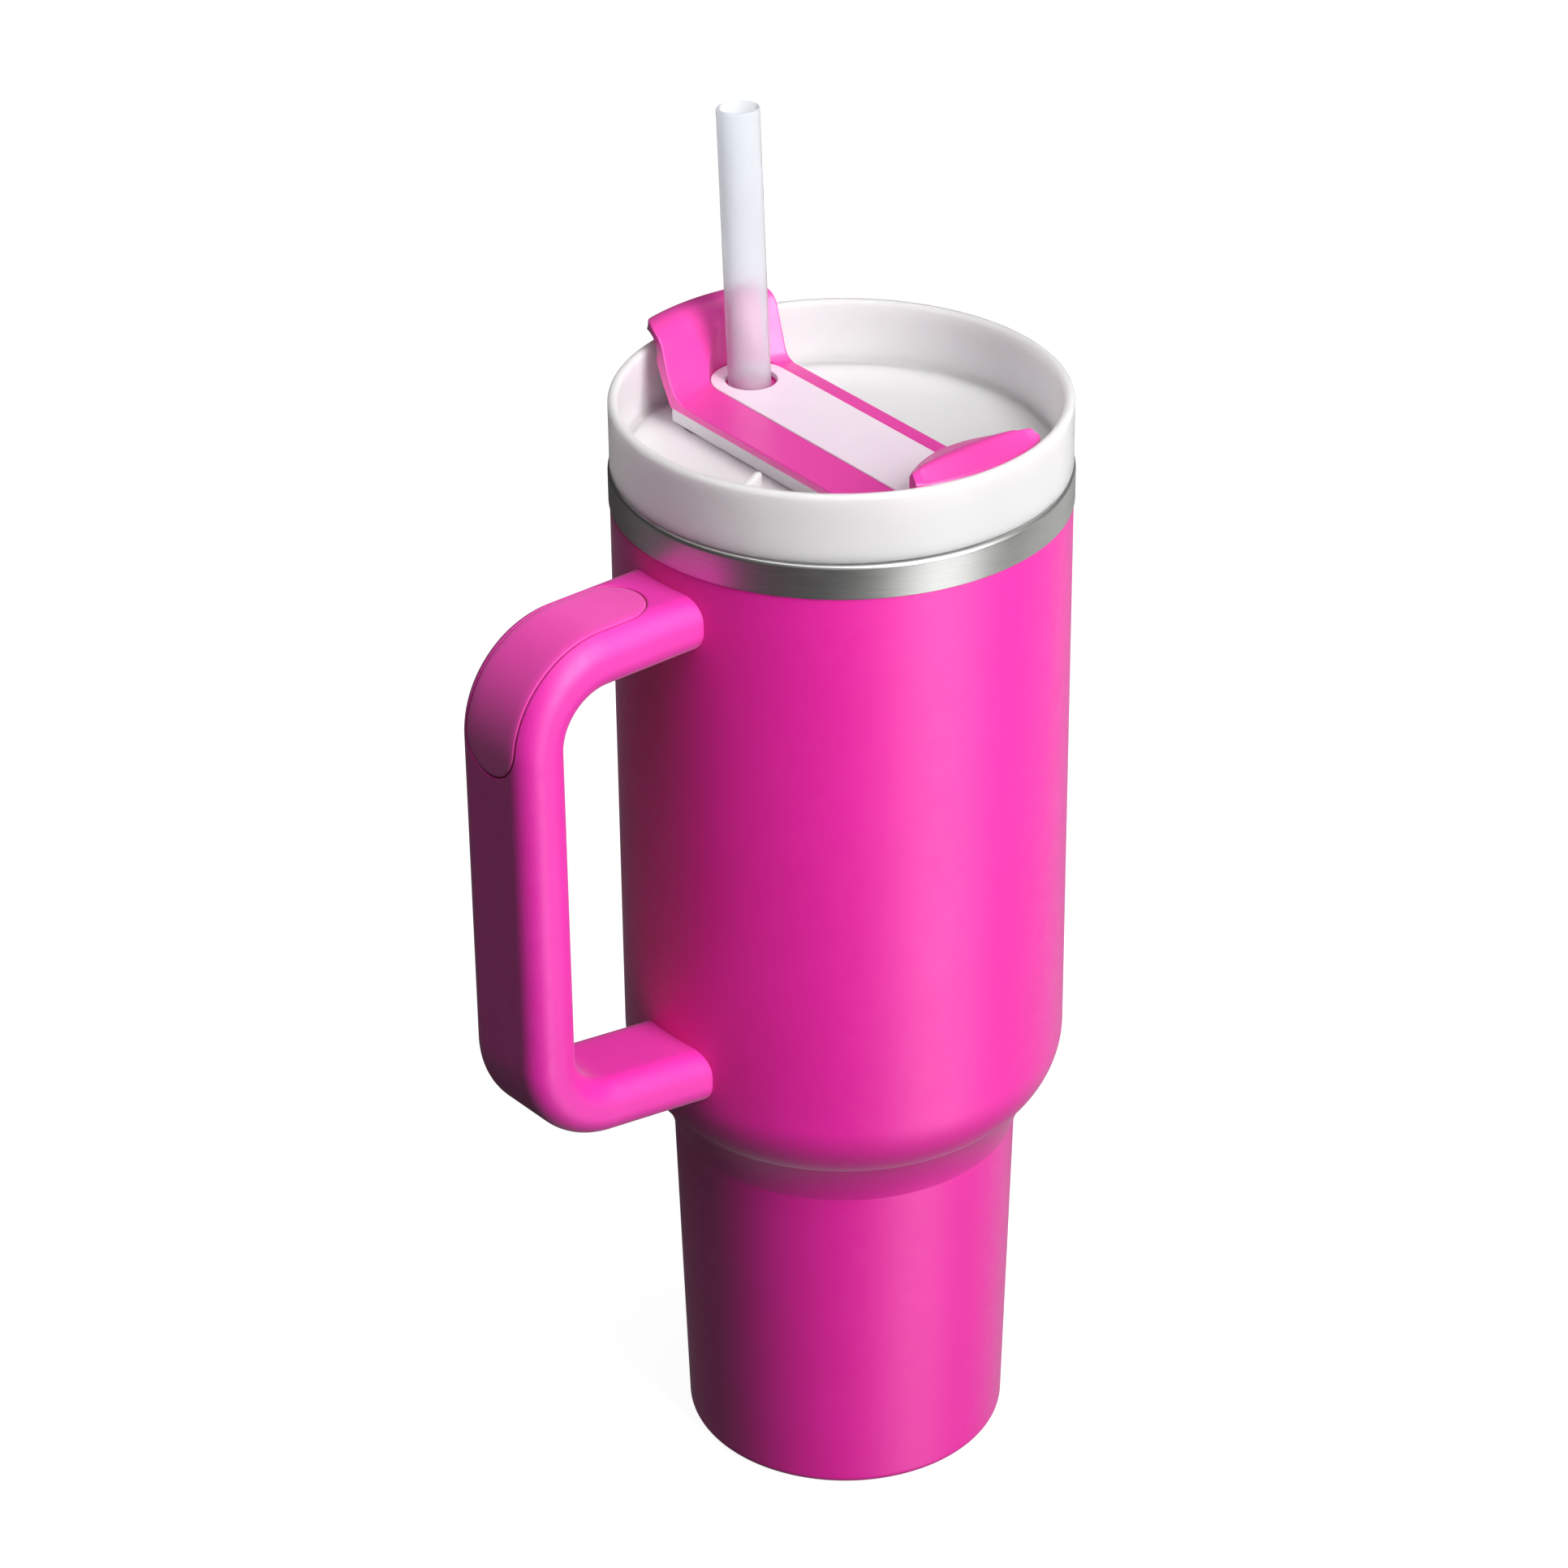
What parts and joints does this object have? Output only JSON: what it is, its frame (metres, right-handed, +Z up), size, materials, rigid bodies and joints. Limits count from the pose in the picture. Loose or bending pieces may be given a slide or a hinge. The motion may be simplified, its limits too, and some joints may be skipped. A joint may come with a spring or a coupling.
{
  "type": "insulated tumbler with handle and straw",
  "caption": "Vacuum-insulated tumbler: wide body stepping in to a narrow base, D-shaped side handle, screw-on lid with a turning cover and a straight straw.",
  "frame": {"origin": "centre of the base, on the plane the tumbler stands on", "axes": "+Z up along the cup's axis, the handle points along -X, the cover's straw end lies near +Y"},
  "size_m": [0.1472, 0.1017, 0.3177],
  "materials": {
    "powder_coat": "satin powder coat",
    "steel": "brushed stainless steel",
    "seal_metal": "dull metal",
    "handle_plastic": "soft-touch",
    "grip_rubber": "fine matt",
    "bracket_steel": "plain steel",
    "lid_clear": "frosted, milky translucent",
    "cover_plastic": "satin",
    "insert_plastic": "satin, milky",
    "pin_plastic": "plain",
    "silicone": "soft silicone",
    "straw_clear": "frosted, milky translucent"
  },
  "bodies": {
    "cup": {"outer_shell": "powder_coat", "inner_liner": "steel", "base_plate": "powder_coat", "vacuum_seal_bead": "seal_metal", "getter_pellet": "seal_metal", "handle_frame": "handle_plastic", "handle_low_arm": "handle_plastic", "grip_inlay": "grip_rubber", "upper_bracket": "bracket_steel", "lower_bracket": "bracket_steel", "handle_screws": "bracket_steel", "screw_plugs": "handle_plastic"},
    "gasket": {"lid_gasket": "silicone"},
    "lid": {"lid_body": "lid_clear"},
    "cover": {"cover": "cover_plastic", "cover_insert": "insert_plastic", "straw_grommet": "silicone", "cover_seal": "silicone", "pivot_pin": "pin_plastic", "pivot_o_ring": "silicone"},
    "straw": {"straw": "straw_clear"}
  },
  "joints": [
    {"name": "lid_lift", "type": "slide", "parent": "cup", "child": "gasket", "axis": [0, 0, 1], "range_m": [0, 0.245]},
    {"name": "lid_turn", "type": "hinge", "parent": "gasket", "child": "lid", "pos_m": [0, 0, 0.249], "axis": [0, 0, 1], "range_deg": [0, 450]},
    {"name": "cover_turn", "type": "hinge", "parent": "lid", "child": "cover", "pos_m": [0, 0, 0.249], "axis": [0, 0, 1], "range_deg": [0, 24]},
    {"name": "straw_pull", "type": "slide", "parent": "cover", "child": "straw", "axis": [0.0024, 0.0453, 0.999], "range_m": [0, 0.262]}
  ]
}
